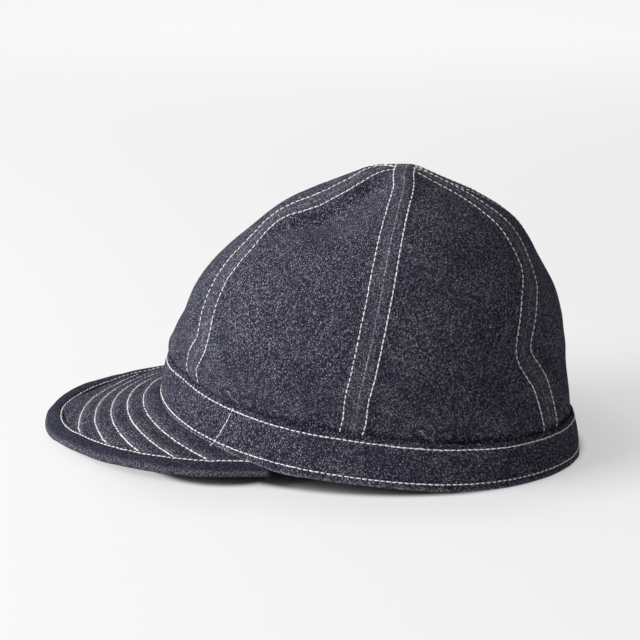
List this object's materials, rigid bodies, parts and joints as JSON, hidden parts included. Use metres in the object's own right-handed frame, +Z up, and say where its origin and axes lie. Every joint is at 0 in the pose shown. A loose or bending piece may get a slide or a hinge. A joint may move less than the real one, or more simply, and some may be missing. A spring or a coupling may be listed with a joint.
{
  "type": "denim cap",
  "caption": "Soft dark denim cap with a stitched panelled crown, a plain band and a short bound peak, shaped to rest on a table.",
  "frame": {"origin": "middle of the cap's footprint on the surface that it rests on", "axes": "-Y towards the tip of the peak, +X towards the wearer's left, +Z up"},
  "size_m": [0.1636, 0.2676, 0.1344],
  "materials": {
    "crown_denim": "dark indigo denim with pale flecks",
    "band_denim": "dark indigo denim, twill lines showing",
    "peak_denim": "stiffened dark indigo denim with rows of pale stitching",
    "binding_denim": "folded dark indigo denim strip",
    "tape": "brown woven cotton tape"
  },
  "bodies": {
    "root": {"panel_front": "crown_denim", "panel_front_left": "crown_denim", "panel_rear_left": "crown_denim", "panel_rear": "crown_denim", "panel_rear_right": "crown_denim", "panel_front_right": "crown_denim", "band": "band_denim", "peak": "peak_denim", "peak_binding": "binding_denim", "sweatband": "tape"}
  },
  "joints": []
}
